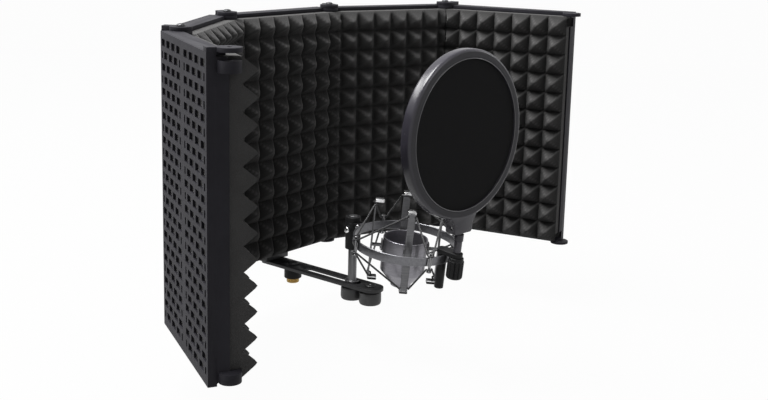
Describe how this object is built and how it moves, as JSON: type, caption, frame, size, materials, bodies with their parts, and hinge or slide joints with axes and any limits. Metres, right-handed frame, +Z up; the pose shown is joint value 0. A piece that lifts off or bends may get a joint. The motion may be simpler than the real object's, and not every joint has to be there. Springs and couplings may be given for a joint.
{
  "type": "microphone isolation shield",
  "caption": "Folding foam-lined acoustic shield of hinged perforated panels on a slotted bar, with a sprung microphone cup in a ring and a round pop filter clamped to the ring.",
  "frame": {"origin": "centre of the mouth of the stand thread, at the bottom face of the brass bush", "axes": "+Z up out of the stand, -Y out of the open front of the shield towards the singer, +X along the middle panel to the right panels"},
  "size_m": [0.6647, 0.315, 0.3501],
  "materials": {
    "panel_plastic": "satin moulded charcoal plastic",
    "acoustic_foam": "open-cell charcoal foam",
    "bright_steel": "bright plated steel",
    "black_steel": "black powder coat",
    "grey_steel": "grey turned steel",
    "brass": "turned brass",
    "knob_plastic": "black moulded plastic",
    "cup_metal": "grey anodised metal",
    "hoop_plastic": "satin dark grey plastic",
    "elastic_cord": "woven black elastic",
    "pop_mesh": "fine black woven mesh"
  },
  "bodies": {
    "shield_middle": {"panel_c": "panel_plastic", "foam_c": "acoustic_foam", "hinge_screw_top_2": "bright_steel", "hinge_screw_low_2": "bright_steel", "support_bar": "black_steel", "bar_spacer": "black_steel", "spacer_screw_left": "bright_steel", "spacer_screw_right": "bright_steel", "stand_hub": "knob_plastic", "hub_bolt": "black_steel", "stand_bush": "brass", "end_bolt": "black_steel"},
    "panel_b_body": {"panel_b": "panel_plastic", "foam_b": "acoustic_foam", "hinge_screw_top_1": "bright_steel", "hinge_screw_low_1": "bright_steel"},
    "panel_a_body": {"panel_a": "panel_plastic", "foam_a": "acoustic_foam"},
    "panel_d_body": {"panel_d": "panel_plastic", "foam_d": "acoustic_foam", "hinge_screw_top_3": "bright_steel", "hinge_screw_low_3": "bright_steel"},
    "panel_e_body": {"panel_e": "panel_plastic", "foam_e": "acoustic_foam", "hinge_screw_top_4": "bright_steel", "hinge_screw_low_4": "bright_steel"},
    "carriage": {"post": "grey_steel"},
    "post_nut_body": {"post_nut": "knob_plastic"},
    "end_nut_body": {"end_nut": "knob_plastic"},
    "collar_body": {"collar": "knob_plastic", "collar_screw": "bright_steel", "tilt_pin": "bright_steel"},
    "ring_body": {"shock_ring": "cup_metal", "cord_hook_1": "bright_steel", "cord_hook_2": "bright_steel", "cord_hook_3": "bright_steel", "cord_hook_4": "bright_steel", "pop_clamp": "knob_plastic", "upper_cord": "elastic_cord", "lower_cord": "elastic_cord"},
    "cup_body": {"cup": "cup_metal", "strap_arm_1": "grey_steel", "strap_arm_2": "grey_steel", "strap_arm_3": "grey_steel", "strap_arm_4": "grey_steel"},
    "clamp_knob_body": {"clamp_knob": "knob_plastic"},
    "pop_post_body": {"pop_post": "grey_steel", "pop_holder": "hoop_plastic", "pop_tilt_screw": "bright_steel"},
    "pop_filter_body": {"pop_hoop": "hoop_plastic", "pop_mesh_front": "pop_mesh", "pop_mesh_back": "pop_mesh"}
  },
  "joints": [
    {"name": "hinge_bc", "type": "hinge", "parent": "shield_middle", "child": "panel_b_body", "pos_m": [-0.09, 0.025, 0.031], "axis": [0, 0, 1], "range_deg": [-31.6, 10.4]},
    {"name": "hinge_ab", "type": "hinge", "parent": "panel_b_body", "child": "panel_a_body", "pos_m": [-0.24331, -0.06932, 0.031], "axis": [0, 0, 1], "range_deg": [-30.8, 29.2]},
    {"name": "hinge_cd", "type": "hinge", "parent": "shield_middle", "child": "panel_d_body", "pos_m": [0.09, 0.025, 0.031], "axis": [0, 0, -1], "range_deg": [-20.5, 21.5]},
    {"name": "hinge_de", "type": "hinge", "parent": "panel_d_body", "child": "panel_e_body", "pos_m": [0.2586, -0.03804, 0.031], "axis": [0, 0, -1], "range_deg": [-56.4, 3.6]},
    {"name": "post_slide", "type": "slide", "parent": "shield_middle", "child": "carriage", "axis": [0, 1, 0], "range_m": [0, 0.058]},
    {"name": "post_nut_turn", "type": "hinge", "parent": "carriage", "child": "post_nut_body", "pos_m": [0, -0.099, 0.019], "axis": [0, 0, 1], "continuous": true},
    {"name": "end_nut_turn", "type": "hinge", "parent": "shield_middle", "child": "end_nut_body", "pos_m": [0, -0.128, 0.019], "axis": [0, 0, 1], "continuous": true},
    {"name": "collar_swivel", "type": "hinge", "parent": "carriage", "child": "collar_body", "pos_m": [0, -0.099, 0.019], "axis": [0, 0, 1], "range_deg": [-20, 20]},
    {"name": "ring_tilt", "type": "hinge", "parent": "collar_body", "child": "ring_body", "pos_m": [0, -0.112, 0.09547], "axis": [1, 0, 0], "range_deg": [-12, 3]},
    {"name": "cup_float", "type": "slide", "parent": "ring_body", "child": "cup_body", "axis": [0, -0.1045, 0.9945], "range_m": [-0.003, 0.003], "stiffness_N_per_m": 1500, "springref_m": 0.001, "deforming": ["upper_cord", "lower_cord"]},
    {"name": "clamp_knob_turn", "type": "hinge", "parent": "ring_body", "child": "clamp_knob_body", "pos_m": [0, -0.25183, 0.08077], "axis": [0, -0.1045, 0.9945], "continuous": true},
    {"name": "pop_swivel", "type": "hinge", "parent": "ring_body", "child": "pop_post_body", "pos_m": [0, -0.25183, 0.08077], "axis": [0, -0.1045, 0.9945], "range_deg": [-25, 25]},
    {"name": "pop_tilt", "type": "hinge", "parent": "pop_post_body", "child": "pop_filter_body", "pos_m": [0, -0.25628, 0.12309], "axis": [0.9965, -0.0832, -0.0087], "range_deg": [-8, 8]}
  ]
}
